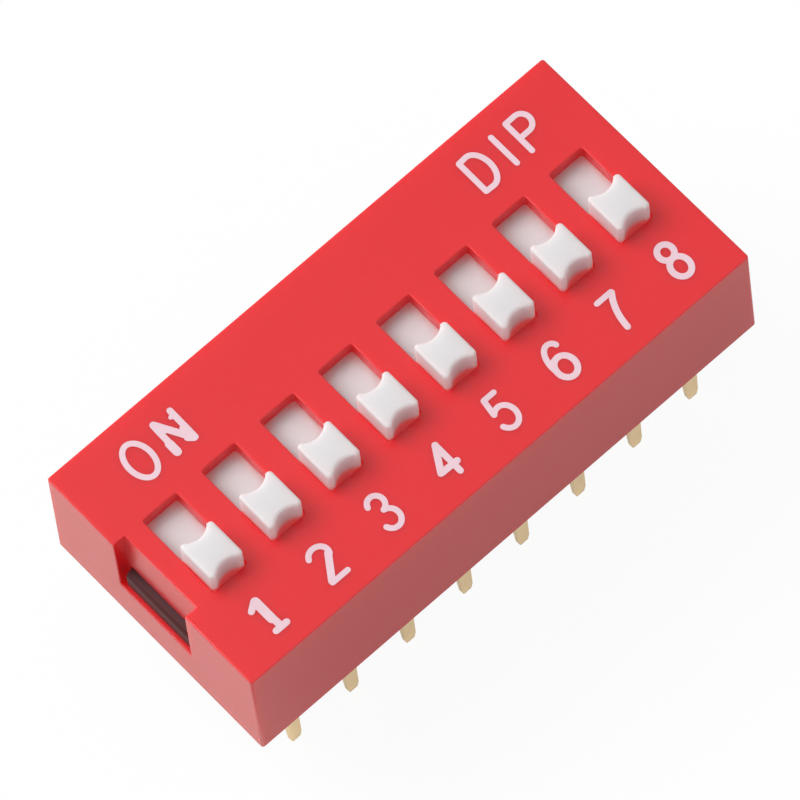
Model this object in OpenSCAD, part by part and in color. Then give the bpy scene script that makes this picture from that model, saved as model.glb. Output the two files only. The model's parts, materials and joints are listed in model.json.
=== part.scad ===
// Slide-type DIP switch with raised sliders and two rows of through-hole terminals.
// Millimetres. +X runs along the row of positions, +Y from the OFF side to the ON side, +Z up.
// The origin is the centre of the terminal grid, on the seating plane under the body.

/* [Positions] */
// Number of switch positions
positions = 8; // [2:1:12]
// Spacing of the positions, and of the terminals in a row
pitch = 2.54; // [2.4:0.02:3.2]
// Distance between the two rows of terminals
row_span = 7.62; // [7.2:0.02:10.16]

/* [Cover] */
// Height of the body from the seating plane to the top face
body_h = 5.25; // [4.4:0.05:7]
// Thickness of the top of the cover
cover_t = 0.6; // [0.4:0.05:0.8]
// Thickness of the two long walls at the top
side_wall = 0.76; // [0.6:0.02:1.2]
// Thickness of the two end walls at the top
end_wall = 0.83; // [0.75:0.01:1.5]
// How far each side leans out from the top to the foot, so that it leaves its mould
draft = 0.05; // [0.02:0.01:0.1]
// Radius of the edges round the top
edge_round = 0.1; // [0.05:0.05:0.4]
// Radius of the upright corners at the foot
corner_round = 0.1; // [0.05:0.05:0.5]
// Gap between the cover and the base that is pressed into it
fit_gap = 0.05; // [0.02:0.01:0.1]

/* [Slots] */
// Width of each slot in the top face
slot_w = 1.45; // [1.2:0.05:1.75]
// Length of each slot
slot_l = 3.45; // [2.8:0.05:4.2]

/* [Sliders] */
// Length of the knob along its travel
knob_l = 1.58; // [1.2:0.02:1.9]
// Height of the knob above the top face
knob_rise = 0.95; // [0.4:0.05:1.4]
// Gap between the knob and each side of its slot
knob_side_gap = 0.025; // [0.02:0.005:0.06]
// Gap between the knob and the end of its slot at each end of its travel
knob_end_gap = 0.025; // [0.02:0.005:0.06]
// Width of the hollow in each end of the knob
hollow_w = 1; // [0.6:0.05:1.1]
// Depth of the hollow in each end of the knob
hollow_d = 0.22; // [0.1:0.01:0.3]
// Thickness of the plate that closes the slot from below
plate_t = 0.6; // [0.4:0.05:0.8]
// Gap between the plate and the underside of the top
plate_gap = 0.04; // [0.02:0.01:0.08]
// How far the plate reaches past each side of its slot
plate_side_lap = 0.27; // [0.2:0.01:0.3]
// How far the plate still reaches past each end of its slot at the end of its travel
plate_end_lap = 0.16; // [0.1:0.02:0.3]
// Gap between the plate and the ribs or walls beside it
plate_clear = 0.05; // [0.03:0.01:0.08]
// Width of the block under the plate
block_w = 1.5; // [1.3:0.05:1.55]
// Length of the block under the plate
block_l = 2.3; // [2:0.05:2.8]
// Depth of the pocket that holds the wiper in the underside of the block
pocket_d = 0.3; // [0.2:0.02:0.36]

/* [Base] */
// Thickness of the floor that holds the terminals
floor_t = 1.3; // [1:0.05:1.6]
// Plastic left outside each row of terminals
pin_cover = 0.215; // [0.15:0.005:0.4]
// Thickness of the tab at each end that carries the catch
tab_t = 0.3; // [0.25:0.05:0.3]
// Room between the last plate and the end wall
end_clear = 0.165; // [0.15:0.005:0.4]

/* [End recess and catches] */
// Width of the recess that marks the end with position 1
recess_w = 3.46; // [2.8:0.02:4.2]
// Depth of that recess into the end wall
recess_d = 0.5; // [0.3:0.05:0.6]
// Height of the ledge at the foot of the recess and windows
ledge_z = 2.1; // [1.75:0.05:2.15]
// Height of the window in each end wall
window_h = 1.1; // [1:0.05:1.15]
// Width of the catch that shows in each window
catch_w = 3.1; // [2.4:0.02:3.1]
// How far the catch stands back from the end face of the cover
catch_inset = 0.13; // [0.1:0.01:0.3]
// Height of the upright front of the catch
catch_land = 0.82; // [0.4:0.02:0.82]
// Height of the slope above it
catch_slope = 0.22; // [0.1:0.02:0.22]
// Gap all round the catch in its window
catch_gap = 0.03; // [0.02:0.01:0.05]

/* [Terminals] */
// Width of the leg
leg_w = 0.5; // [0.4:0.05:0.8]
// Thickness of the metal
leg_t = 0.25; // [0.2:0.01:0.35]
// Length of the leg below the seating plane
leg_len = 4.5; // [3:0.1:5]
// Width of the leg at its tip
tip_w = 0.34; // [0.24:0.02:0.5]
// Length of the taper at the tip
tip_len = 0.3; // [0.2:0.05:1]
// Thickness of the leg at its tip
tip_t = 0.12; // [0.06:0.01:0.2]
// Length over which its inner face leans in to that thickness
lean_len = 0.9; // [0.3:0.1:1.5]
// Width of the contact pad in the floor
pad_w = 1.1; // [0.9:0.05:1.2]
// Outer radius of the bend between leg and pad
bend_r = 0.4; // [0.36:0.02:0.6]

/* [Wipers] */
// Width of the spring strip
wiper_w = 0.9; // [0.7:0.05:1]
// Thickness of the spring strip
strip_t = 0.12; // [0.08:0.01:0.15]
// Distance between its two contact points
feet_span = 2.2; // [1.9:0.05:2.4]
// Length of the flat web that sits in the pocket
web_l = 1.1; // [0.9:0.05:1.2]
// Length of the flat under each foot
foot_l = 0.24; // [0.1:0.02:0.3]
// Length of the upturned end of each foot
toe_l = 0.2; // [0.1:0.02:0.3]
// Gap round the web in its pocket
pocket_gap = 0.02; // [0.01:0.01:0.05]
// Room in the pocket for the bend at each end of the web
bend_room = 0.3; // [0.25:0.05:0.4]
// Height from the floor to the ceiling of the pocket
wiper_h = 1.9; // [1.7:0.05:1.95]
// Gap between a contact point and the pad below it
contact_gap = 0.03; // [0.02:0.01:0.05]
// How far a closed contact point stands inside the end of its pad
contact_lap = 0.2; // [0.15:0.05:0.3]
// The same on the pad that is left when the switch opens
open_lap = 0.6; // [0.4:0.05:0.8]

/* [Hidden] */
$fn = 48;

// A cut runs this far past a face that it opens
past = 1;
// A piece of a moulding reaches this far into the one that it grows from
root = 0.05;

// Along X
plate_w = slot_w + 2 * plate_side_lap;
rib_t = pitch - plate_w - 2 * plate_clear;
cavity_l = (positions - 1) * pitch + plate_w + 2 * end_clear;
body_l = cavity_l + 2 * end_wall;

// Along Y
travel = slot_l - knob_l - 2 * knob_end_gap;
plate_l = slot_l + travel + 2 * plate_end_lap;
cavity_w = max(
    row_span + leg_t + 2 * (pin_cover + fit_gap),
    travel + plate_l + 2 * fit_gap
);
body_w = cavity_w + 2 * side_wall;

// Where the pads end: the first row's reaches under both feet, the second row's only
// under the front foot when the switch is on
long_pad_end = travel / 2 - feet_span / 2 + contact_lap;
short_pad_end = -(travel / 2 + feet_span / 2 - open_lap);

// Along Z
under_cover = body_h - cover_t;
plate_top = under_cover - plate_gap;
plate_z = plate_top - plate_t;
ceiling_z = floor_t + wiper_h;
block_z = ceiling_z - pocket_d;
window_top = ledge_z + window_h;

// Place of a position along X, counted from 1
function place_x(i) = (i - (positions + 1) / 2) * pitch;

// Unit vector from one point towards the next
function heading(a, b) = (b - a) / norm(b - a);

// A point set off sideways from a bend in a path, so that both strips keep their thickness
function offset_point(path, i, side) =
    let (
        last = len(path) - 1,
        before = heading(path[max(i - 1, 0)], path[max(i, 1)]),
        after = heading(path[min(i, last - 1)], path[min(i + 1, last)]),
        n1 = [-before.y, before.x],
        n2 = [-after.y, after.x]
    )
    path[i] + side * (n1 + n2) / (1 + n1 * n2);

// Outline of a strip of even thickness that follows a path
function strip_outline(path, thickness) = concat(
    [for (i = [0:len(path) - 1]) offset_point(path, i, thickness / 2)],
    [for (i = [len(path) - 1:-1:0]) offset_point(path, i, -thickness / 2)]
);

// Face of the cover seen from one side: width wide at the top, leaning out to the foot,
// with its upper corners rounded
module drafted_face(width) {
    lean = atan(draft / body_h);
    arc_x = width / 2 + draft * edge_round / body_h - edge_round / cos(lean);
    arc_z = body_h - edge_round;
    side = [arc_x + edge_round * cos(lean), arc_z + edge_round * sin(lean)];
    foot = width / 2 + draft;
    polygon([[foot, 0], side, [arc_x, body_h], [-arc_x, body_h], [-side.x, side.y], [-foot, 0]]);
    for (x = [-arc_x, arc_x]) translate([x, arc_z]) circle(edge_round);
}

// Rectangle about the origin with all its corners rounded
module rounded(width, depth, radius) {
    square([width - 2 * radius, depth], center = true);
    square([width, depth - 2 * radius], center = true);
    for (x = [-1, 1], y = [-1, 1])
        translate([x * (width / 2 - radius), y * (depth / 2 - radius)]) circle(radius);
}

// Box that stands on z = from, centred in X and Y
module block(size, from) {
    translate([-size.x / 2, -size.y / 2, from]) cube(size);
}

// Outer form of the cover, with its upper and upright edges rounded
module cover_form() {
    intersection() {
        linear_extrude(body_h) rounded(body_l + 2 * draft, body_w + 2 * draft, corner_round);
        rotate([90, 0, 0]) translate([0, 0, -body_w])
            linear_extrude(2 * body_w) drafted_face(body_l);
        rotate([90, 0, 90]) translate([0, 0, -body_l])
            linear_extrude(2 * body_l) drafted_face(body_w);
    }
}

// Red cover: open below, with a slot for each knob, a window in each end for the
// base's catches, and a recess that marks the end with position 1
module housing() {
    color([0.87, 0.06, 0.08])
    difference() {
        cover_form();
        block([cavity_l, cavity_w, under_cover + past], -past);
        for (i = [1:positions])
            translate([place_x(i), 0, 0]) block([slot_w, slot_l, cover_t + 2 * past], under_cover - past);
        block([body_l + 2 * past, catch_w + 2 * catch_gap, window_h], ledge_z);
        translate([-body_l / 2 - past, -recess_w / 2, ledge_z])
            cube([recess_d + past, recess_w, body_h - ledge_z + past]);
    }
}

// One terminal of the first row, as bent metal: a leg through the floor and a pad that
// reaches in along the floor to y = pad_end
module terminal_form(pad_end) {
    leg_y = -row_span / 2;
    outer_y = leg_y - leg_t / 2;
    intersection() {
        rotate([90, 0, 0]) translate([0, 0, -outer_y - leg_t])
            linear_extrude(leg_t) polygon([
                [-leg_w / 2, floor_t - bend_r], [-leg_w / 2, tip_len - leg_len],
                [-tip_w / 2, -leg_len], [tip_w / 2, -leg_len],
                [leg_w / 2, tip_len - leg_len], [leg_w / 2, floor_t - bend_r]
            ]);
        rotate([90, 0, 90]) translate([0, 0, -leg_w])
            linear_extrude(2 * leg_w) polygon([
                [outer_y, floor_t - bend_r], [outer_y, -leg_len], [outer_y + tip_t, -leg_len],
                [outer_y + leg_t, lean_len - leg_len], [outer_y + leg_t, floor_t - bend_r]
            ]);
    }
    rotate([90, 0, 90]) translate([outer_y + bend_r, floor_t - bend_r, -leg_w / 2])
        linear_extrude(leg_w) intersection() {
            difference() {
                circle(bend_r);
                circle(bend_r - leg_t);
            }
            translate([-bend_r, 0]) square(bend_r);
        }
    pad_from = outer_y + bend_r;
    translate([-leg_w / 2, pad_from, floor_t - leg_t]) cube([leg_w, pad_w / 2, leg_t]);
    translate([-pad_w / 2, pad_from + (pad_w - leg_w) / 2, floor_t - leg_t])
        cube([pad_w, pad_end - pad_from - (pad_w - leg_w) / 2, leg_t]);
}

// Terminal n, counted along the first row and back along the second
module terminal_place(n) {
    if (n <= positions)
        translate([place_x(n), 0, 0]) terminal_form(long_pad_end);
    else
        translate([place_x(2 * positions + 1 - n), 0, 0]) rotate([0, 0, 180])
            terminal_form(short_pad_end);
}

module terminal(n) {
    color([0.86, 0.70, 0.38]) terminal_place(n);
}

// End tab with its catch, at the +X end
module catch_tab() {
    face_x = cavity_l / 2 - fit_gap;
    nose_x = body_l / 2 - catch_inset;
    foot_z = ledge_z + catch_gap;
    land_z = foot_z + catch_land;
    slope_z = land_z + catch_slope;
    translate([face_x - tab_t, -catch_w / 2, floor_t - root])
        cube([tab_t, catch_w, window_top - catch_gap - floor_t + root]);
    rotate([90, 0, 0]) translate([0, 0, -catch_w / 2])
        linear_extrude(catch_w) polygon([
            [face_x - root, foot_z], [nose_x, foot_z], [nose_x, land_z],
            [face_x, slope_z], [face_x - root, slope_z]
        ]);
}

// Black base: a floor moulded round the terminals, ribs between the positions, and a
// catch at each end
module base() {
    base_l = cavity_l - 2 * fit_gap;
    base_w = cavity_w - 2 * fit_gap;
    color([0.10, 0.09, 0.10])
    difference() {
        union() {
            block([base_l, base_w, floor_t], 0);
            for (i = [1:positions - 1])
                translate([(place_x(i) + place_x(i + 1)) / 2, 0, 0])
                    block([rib_t, base_w, under_cover - fit_gap], 0);
            catch_tab();
            rotate([0, 0, 180]) catch_tab();
        }
        for (n = [1:2 * positions]) terminal_place(n);
    }
}

// Hollow in one end of the knob: an upright cylinder that just bites into it
module knob_hollow() {
    radius = (pow(hollow_w / 2, 2) + pow(hollow_d, 2)) / (2 * hollow_d);
    translate([0, knob_l / 2 - hollow_d + radius, plate_top]) cylinder(r = radius, h = body_h);
}

// White slider in its OFF place: knob, plate under the slot, and the block that holds
// the wiper
module slider(i) {
    color([0.93, 0.93, 0.92])
    translate([place_x(i), -travel / 2, 0])
    difference() {
        union() {
            difference() {
                block([slot_w - 2 * knob_side_gap, knob_l, body_h + knob_rise - plate_top + root],
                    plate_top - root);
                knob_hollow();
                rotate([0, 0, 180]) knob_hollow();
            }
            block([plate_w, plate_l, plate_t], plate_z);
            block([block_w, block_l, plate_z + root - block_z], block_z);
        }
        block([wiper_w + 2 * pocket_gap, web_l + 2 * bend_room, pocket_d + past], block_z - past);
    }
}

// Half of the wiper's path in the Y-Z plane, from the end of its web to the upturned toe
function wiper_half(side) =
    let (
        low = floor_t + contact_gap + strip_t / 2,
        high = ceiling_z - strip_t / 2,
        heel = (feet_span - foot_l) / 2,
        ball = (feet_span + foot_l) / 2
    )
    [[side * web_l / 2, high], [side * heel, low], [side * ball, low], [side * (ball + toe_l), low + toe_l]];

// Gilt spring strip that rides on the slider and bridges the two pads when it is on
module wiper(i) {
    left = wiper_half(-1);
    path = concat([for (k = [len(left) - 1:-1:0]) left[k]], wiper_half(1));
    color([0.90, 0.74, 0.40])
    translate([place_x(i) - wiper_w / 2, -travel / 2, 0]) rotate([90, 0, 90])
        linear_extrude(wiper_w) polygon(strip_outline(path, strip_t));
}

housing();
base();
for (i = [1:positions]) {
    slider(i);
    wiper(i);
}
for (n = [1:2 * positions])
    terminal(n);
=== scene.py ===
"""Visual model of an eight-position slide DIP switch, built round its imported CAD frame.

Pieces are modelled in millimetres, one unit to the millimetre, and brought into the frame's
metres as they are finished. +X runs along the positions, +Y towards ON and +Z up.
"""

import json
import logging
import math
import sys
from collections.abc import Callable, Iterator, Sequence
from contextlib import contextmanager
from dataclasses import dataclass, field
from enum import Enum
from typing import Any

import bmesh
import bpy
from mathutils import Matrix, Vector

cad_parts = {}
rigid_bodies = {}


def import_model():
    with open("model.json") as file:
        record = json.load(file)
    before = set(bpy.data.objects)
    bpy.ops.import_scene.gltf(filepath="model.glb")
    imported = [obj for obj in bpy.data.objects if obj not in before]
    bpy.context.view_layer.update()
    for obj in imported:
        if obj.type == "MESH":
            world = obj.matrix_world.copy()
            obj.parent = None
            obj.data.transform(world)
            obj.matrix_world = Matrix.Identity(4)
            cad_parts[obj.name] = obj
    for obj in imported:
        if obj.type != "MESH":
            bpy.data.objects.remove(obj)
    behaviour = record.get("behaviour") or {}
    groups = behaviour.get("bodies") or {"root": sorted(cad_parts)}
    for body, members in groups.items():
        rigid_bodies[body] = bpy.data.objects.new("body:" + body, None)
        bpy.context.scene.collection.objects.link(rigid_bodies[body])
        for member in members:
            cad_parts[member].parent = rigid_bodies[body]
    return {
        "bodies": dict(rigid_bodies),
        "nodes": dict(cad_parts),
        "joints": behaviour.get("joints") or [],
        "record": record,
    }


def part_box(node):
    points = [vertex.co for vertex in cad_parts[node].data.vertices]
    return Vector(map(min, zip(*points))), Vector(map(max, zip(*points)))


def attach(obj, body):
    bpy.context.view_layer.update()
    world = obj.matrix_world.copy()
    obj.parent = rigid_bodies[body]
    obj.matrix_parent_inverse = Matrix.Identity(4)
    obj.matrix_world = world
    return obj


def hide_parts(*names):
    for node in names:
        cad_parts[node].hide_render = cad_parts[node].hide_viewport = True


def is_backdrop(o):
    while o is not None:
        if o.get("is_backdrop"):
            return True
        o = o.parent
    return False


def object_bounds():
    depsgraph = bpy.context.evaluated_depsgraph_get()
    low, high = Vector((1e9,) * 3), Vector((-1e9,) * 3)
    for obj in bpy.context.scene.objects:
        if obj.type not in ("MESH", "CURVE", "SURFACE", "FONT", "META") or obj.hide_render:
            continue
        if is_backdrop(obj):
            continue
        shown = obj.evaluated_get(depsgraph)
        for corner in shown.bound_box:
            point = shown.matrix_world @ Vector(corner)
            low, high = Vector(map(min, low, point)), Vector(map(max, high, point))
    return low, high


LOG = logging.getLogger("dip_switch")
BODY = "body"

# Millimetres to the frame's metres
MM = 0.001
# Two places nearer than this, in millimetres, are the same place
TOUCH = 0.003
# Points nearer than this, in millimetres, are merged
MERGED = 0.0001
# A cutter runs this far past a face that it opens, in millimetres
PAST = 1.0
# A direction lies along an axis if more than this share of it does
ALONG = 0.9
# Triangles of a CAD solid that meet at less than this many degrees are one flat face
FLAT_DEGREES = 0.5
# Faces that meet at less than this many degrees are shaded as one surface
SMOOTH_DEGREES = 32.0

Colour = tuple[float, float, float]
FaceTest = Callable[[Vector, Vector], bool]
Sockets = dict[str, bpy.types.NodeSocket]
Frame = dict[str, Any]


# ---------------------------------------------------------------- measures


@dataclass(frozen=True)
class Span:
    """The lowest and highest corner of a box, in millimetres."""

    low: Vector
    high: Vector

    @classmethod
    def of_node(cls, node: str) -> "Span":
        """Returns the box of a CAD node at rest."""
        low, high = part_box(node)
        return cls(low / MM, high / MM)

    @classmethod
    def about(cls, centre: Sequence[float], size: Sequence[float]) -> "Span":
        """Makes a box from its middle.

        Args:
            centre: Middle of the box.
            size: Its length along each axis.

        Returns:
            The box.
        """
        half = Vector(size) / 2
        return cls(Vector(centre) - half, Vector(centre) + half)

    @property
    def size(self) -> Vector:
        """Returns the length along each axis."""
        return self.high - self.low

    @property
    def centre(self) -> Vector:
        """Returns the middle."""
        return (self.low + self.high) / 2


@dataclass(frozen=True)
class Edge:
    """What a test knows of one edge of a workpiece."""

    middle: Vector
    along: Vector
    turn: float
    convex: bool

    @property
    def upright(self) -> bool:
        """Returns True if the edge stands upright."""
        return abs(self.along.z) > ALONG

    @classmethod
    def read(cls, edge: bmesh.types.BMEdge) -> "Edge":
        """Reads an edge of a mesh in edit mode.

        Args:
            edge: The edge, with its faces' normals up to date.

        Returns:
            Its middle, direction, and the angle in degrees that its two faces turn through.
        """
        first, second = (vert.co for vert in edge.verts)
        middle = (first + second) / 2
        turn = 0.0
        convex = True
        if len(edge.link_faces) == 2:
            here, there = edge.link_faces
            turn = math.degrees(here.normal.angle(there.normal, 0.0))
            convex = edge.is_convex
        return cls(middle, (second - first).normalized(), turn, convex)


EdgeTest = Callable[[Edge], bool]


# ---------------------------------------------------------------- the bench


class Pick(Enum):
    """The kinds of element that edit mode can pick."""

    POINTS = "VERT"
    EDGES = "EDGE"
    FACES = "FACE"


class Fusion(Enum):
    """The ways to make one solid of two."""

    CUT = "DIFFERENCE"
    WELD = "UNION"


def clear_selection() -> None:
    """Deselects every object, the frame's among them."""
    bpy.ops.object.select_all(action="DESELECT")


class Workpiece:
    """A mesh on the bench, shaped in millimetres with Blender's own operators."""

    def __init__(self, thing: bpy.types.Object) -> None:
        """Takes hold of a mesh object."""
        self.thing = thing

    @classmethod
    def fresh(cls, name: str) -> "Workpiece":
        """Takes hold of the object that was just added, with its place in its mesh.

        Args:
            name: The name that it gets.

        Returns:
            The new workpiece.
        """
        bpy.ops.object.transform_apply(location=True, rotation=True, scale=True)
        thing = bpy.context.object
        thing.name = name
        thing.data.name = name
        return cls(thing)

    @classmethod
    def box(cls, name: str, space: Span) -> "Workpiece":
        """Adds a cube that fills a box.

        Args:
            name: Name of the new object.
            space: The box.

        Returns:
            The new workpiece.
        """
        clear_selection()
        bpy.ops.mesh.primitive_cube_add(size=1, location=space.centre, scale=space.size)
        return cls.fresh(name)

    @classmethod
    def rod(cls, name: str, foot: Sequence[float], radius: float, height: float, sides: int) -> "Workpiece":
        """Adds an upright cylinder.

        Args:
            name: Name of the new object.
            foot: Centre of its lower face.
            radius: Its radius.
            height: Its height.
            sides: Number of its sides.

        Returns:
            The new workpiece.
        """
        clear_selection()
        middle = Vector(foot) + Vector((0, 0, height / 2))
        bpy.ops.mesh.primitive_cylinder_add(vertices=sides, radius=radius, depth=height, location=middle)
        return cls.fresh(name)

    @classmethod
    def of_node(cls, name: str, node: bpy.types.Object) -> "Workpiece":
        """Copies a CAD node's mesh and merges its loose triangles into whole faces.

        Args:
            name: Name of the copy.
            node: The CAD node, which is left as it is.

        Returns:
            The copy, in millimetres.
        """
        thing = bpy.data.objects.new(name, node.data.copy())
        bpy.context.scene.collection.objects.link(thing)
        thing.data.materials.clear()
        piece = cls(thing)
        piece.hold()
        bpy.ops.transform.resize(value=(1 / MM,) * 3, center_override=(0, 0, 0))
        bpy.ops.object.transform_apply(location=True, rotation=True, scale=True)
        piece.merge()
        with piece.editing():
            bpy.ops.mesh.select_all(action="SELECT")
            bpy.ops.mesh.dissolve_limited(angle_limit=math.radians(FLAT_DEGREES))
        return piece

    def hold(self) -> None:
        """Selects this object alone and makes it the active one."""
        clear_selection()
        self.thing.select_set(True)
        bpy.context.view_layer.objects.active = self.thing

    @contextmanager
    def editing(self, kind: Pick = Pick.FACES) -> Iterator[None]:
        """Opens the mesh in edit mode with nothing selected, and closes it afterwards.

        Args:
            kind: The kind of element that is picked.

        Yields:
            Nothing.
        """
        self.hold()
        bpy.ops.object.mode_set(mode="EDIT")
        bpy.ops.mesh.select_mode(type=kind.value)
        bpy.ops.mesh.select_all(action="DESELECT")
        try:
            yield
        finally:
            bpy.ops.object.mode_set(mode="OBJECT")

    def pick_faces(self, test: FaceTest) -> None:
        """Selects faces in edit mode by their place and normal.

        Args:
            test: Says yes or no to a face's middle and normal.
        """
        mesh = bmesh.from_edit_mesh(self.thing.data)
        picked = [face for face in mesh.faces if test(face.calc_center_bounds(), face.normal)]
        for face in picked:
            face.select_set(True)
        bmesh.update_edit_mesh(self.thing.data)

    def pick_edges(self, test: EdgeTest) -> int:
        """Selects edges in edit mode.

        Args:
            test: Says yes or no to an edge.

        Returns:
            How many edges it picked.
        """
        mesh = bmesh.from_edit_mesh(self.thing.data)
        mesh.normal_update()
        picked = [edge for edge in mesh.edges if test(Edge.read(edge))]
        for edge in picked:
            edge.select_set(True)
        bmesh.update_edit_mesh(self.thing.data)
        return len(picked)

    def round_edges(self, test: EdgeTest, radius: float, segments: int) -> None:
        """Rounds the edges that a test picks.

        Args:
            test: Says yes or no to an edge.
            radius: Radius of the round.
            segments: Number of flats across it.
        """
        with self.editing(Pick.EDGES):
            found = self.pick_edges(test)
            if found:
                bpy.ops.mesh.bevel(
                    offset=radius,
                    offset_type="OFFSET",
                    segments=segments,
                    affect="EDGES",
                    clamp_overlap=False,
                )
        if not found:
            raise ValueError(f"{self.thing.name}: no edge to round at {radius} mm")

    def combine(self, tool: "Workpiece", way: Fusion) -> None:
        """Cuts a tool out of this piece or joins it on, and puts the tool away.

        Args:
            tool: The other workpiece, which is used up.
            way: Whether it is cut out or joined on.
        """
        self.hold()
        bpy.ops.object.modifier_add(type="BOOLEAN")
        modifier = self.thing.modifiers[-1]
        modifier.solver = "EXACT"
        modifier.operation = way.value
        modifier.object = tool.thing
        bpy.ops.object.modifier_apply(modifier=modifier.name)
        tool.discard()

    def cut(self, *tools: "Workpiece") -> None:
        """Cuts tools out of this piece, one after another."""
        for tool in tools:
            self.combine(tool, Fusion.CUT)

    def weld(self, *parts: "Workpiece") -> None:
        """Joins solids onto this piece, one after another."""
        for part in parts:
            self.combine(part, Fusion.WELD)

    def gather(self, others: Sequence["Workpiece"]) -> None:
        """Takes other workpieces into this object as they are.

        Args:
            others: The workpieces, which are used up.
        """
        self.hold()
        for other in others:
            other.thing.select_set(True)
        bpy.ops.object.join()

    def discard(self) -> None:
        """Deletes the object and its mesh."""
        mesh = self.thing.data
        bpy.data.objects.remove(self.thing)
        bpy.data.meshes.remove(mesh)

    def copy(self, name: str, shift: Sequence[float] = (0, 0, 0), turn: float = 0.0) -> "Workpiece":
        """Copies the piece, with a mesh of its own.

        Args:
            name: Name of the copy.
            shift: How far it is moved, in the units that the piece has now.
            turn: Degrees that it is turned about the vertical through the origin first.

        Returns:
            The copy.
        """
        self.hold()
        bpy.ops.object.duplicate(linked=False)
        if turn:
            bpy.ops.transform.rotate(value=math.radians(turn), orient_axis="Z", center_override=(0, 0, 0))
        bpy.ops.transform.translate(value=shift)
        return Workpiece.fresh(name)

    def merge(self) -> None:
        """Merges points that lie on one another."""
        with self.editing(Pick.POINTS):
            bpy.ops.mesh.select_all(action="SELECT")
            bpy.ops.mesh.remove_doubles(threshold=MERGED)

    def face_outwards(self) -> None:
        """Turns every face of a closed mesh outwards."""
        with self.editing():
            bpy.ops.mesh.select_all(action="SELECT")
            bpy.ops.mesh.normals_make_consistent(inside=False)

    def to_metres(self) -> None:
        """Brings the mesh into the frame, closed, facing outwards and smoothly shaded."""
        self.merge()
        self.face_outwards()
        bpy.ops.transform.resize(value=(MM,) * 3, center_override=(0, 0, 0))
        bpy.ops.object.transform_apply(location=True, rotation=True, scale=True)
        bpy.ops.object.shade_smooth_by_angle(angle=math.radians(SMOOTH_DEGREES), keep_sharp_edges=False)
        bpy.ops.object.modifier_add(type="WEIGHTED_NORMAL")
        modifier = self.thing.modifiers[-1]
        modifier.keep_sharp = True
        bpy.ops.object.modifier_apply(modifier=modifier.name)

    def dress(self, material: bpy.types.Material) -> None:
        """Gives the whole piece one material."""
        self.thing.data.materials.clear()
        self.thing.data.materials.append(material)

    def fit(self, body: str, slot: str, *nodes: str) -> None:
        """Hangs the finished piece on its body and reports it.

        Args:
            body: The CAD body that it rides on.
            slot: Not used.
            *nodes: The CAD nodes that it stands for.
        """
        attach(self.thing, body)
        if nodes:
            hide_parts(*nodes)
        size = " x ".join(f"{side / MM:.2f}" for side in self.thing.dimensions)
        LOG.info("%s: %s mm, %d faces, on %s", self.thing.name, size, len(self.thing.data.polygons), body)


# ---------------------------------------------------------------- finishes


class Graph:
    """A node tree that is being wired up."""

    def __init__(self, tree: bpy.types.NodeTree) -> None:
        """Takes hold of an empty tree."""
        self.tree = tree

    def add(self, kind: str, values: dict[str, object] | None = None, **settings: object) -> bpy.types.Node:
        """Adds a node.

        Args:
            kind: The node's type, without the leading ShaderNode.
            values: Values or sockets for its inputs, by name or identifier.
            **settings: Its own settings.

        Returns:
            The node.
        """
        node = self.tree.nodes.new("ShaderNode" + kind)
        for name, value in settings.items():
            setattr(node, name, value)
        for name, value in (values or {}).items():
            self.feed(node, name, value)
        return node

    def feed(self, node: bpy.types.Node, name: str, value: object) -> None:
        """Sets one input of a node, or links a socket to it.

        Args:
            node: The node.
            name: Name or identifier of the input.
            value: A number, vector or colour, or the socket that feeds it.
        """
        known = [item for item in node.inputs if name in (item.identifier, item.name)]
        target = next((item for item in known if item.enabled), known[0])
        if isinstance(value, bpy.types.NodeSocket):
            self.tree.links.new(value, target)
        else:
            target.default_value = value

    def maths(self, operation: str, *terms: object, clamp: bool = False) -> bpy.types.NodeSocket:
        """Adds a Math node.

        Args:
            operation: Blender's name of the operation.
            *terms: Its numbers or sockets, in order.
            clamp: True to keep the result from 0 to 1.

        Returns:
            The result's socket.
        """
        values = dict(zip(("Value", "Value_001", "Value_002"), terms))
        return self.add("Math", values, operation=operation, use_clamp=clamp).outputs[0]

    def spread(self, value: bpy.types.NodeSocket, low: float, high: float) -> bpy.types.NodeSocket:
        """Stretches a pattern over a range of values.

        Args:
            value: The pattern.
            low: What its low end becomes.
            high: What its high end becomes.

        Returns:
            The result's socket.
        """
        values = {"Value": value, "From Min": 0.0, "From Max": 1.0, "To Min": low, "To Max": high}
        return self.add("MapRange", values).outputs["Result"]

    def mix(self, share: object, first: object, second: object) -> bpy.types.NodeSocket:
        """Mixes two colours.

        Args:
            share: How much of the second colour there is, as a number or socket.
            first: The first colour or socket.
            second: The second colour or socket.

        Returns:
            The mixed colour's socket.
        """
        values = {"Factor_Float": share, "A_Color": first, "B_Color": second}
        node = self.add("Mix", values, data_type="RGBA")
        return next(item for item in node.outputs if item.enabled)

    def relief(self, height: bpy.types.NodeSocket, strength: float, depth: float) -> bpy.types.NodeSocket:
        """Turns a pattern of heights into normals.

        Args:
            height: The pattern.
            strength: How much of it shows.
            depth: What its full height is, in metres.

        Returns:
            The normal's socket.
        """
        values = {"Height": height, "Strength": strength, "Distance": depth}
        return self.add("Bump", values).outputs[0]


def opaque(colour: Colour) -> tuple[float, float, float, float]:
    """Returns a colour with an alpha of 1."""
    return (*colour, 1.0)


def shade(colour: Colour, share: float) -> Colour:
    """Returns a colour made darker or lighter by a share of itself."""
    return tuple(min(1.0, part * share) for part in colour)


class Effect(Enum):
    """The surface effects that more than one finish uses."""

    GRAIN = "moulded_grain"
    DUST = "dust_specks"
    EDGE = "edge_polish"
    ROLLED = "rolled_metal"
    CREVICE = "crevice_mask"


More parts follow.
